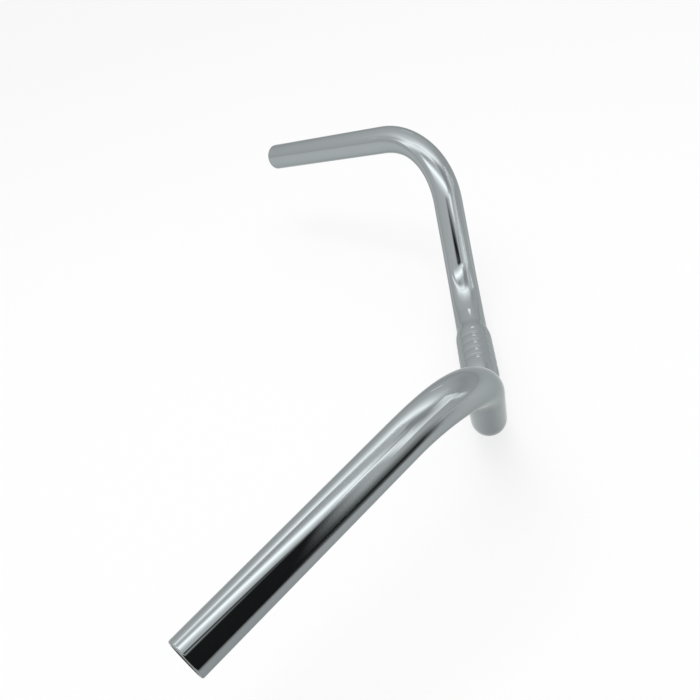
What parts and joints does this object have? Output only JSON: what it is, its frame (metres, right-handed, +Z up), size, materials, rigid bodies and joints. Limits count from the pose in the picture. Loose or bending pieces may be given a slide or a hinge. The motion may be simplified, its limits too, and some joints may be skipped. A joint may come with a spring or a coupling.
{
  "type": "riser handlebar",
  "caption": "Chromed steel riser handlebar: one round tube bent up and swept back, with a wider grooved clamp seat in the middle.",
  "frame": {"origin": "middle of the clamp seat, on the tube's centre line", "axes": "+X along the clamp seat towards the rider's right, +Y forward along the bicycle, +Z up; the risers stand in the XZ plane and the grips sweep back towards -Y"},
  "size_m": [0.6062, 0.1677, 0.1209],
  "materials": {
    "chromed_tube": "polished chrome plate over a drawn steel tube"
  },
  "bodies": {
    "root": {"handlebar_tube": "chromed_tube"}
  },
  "joints": []
}
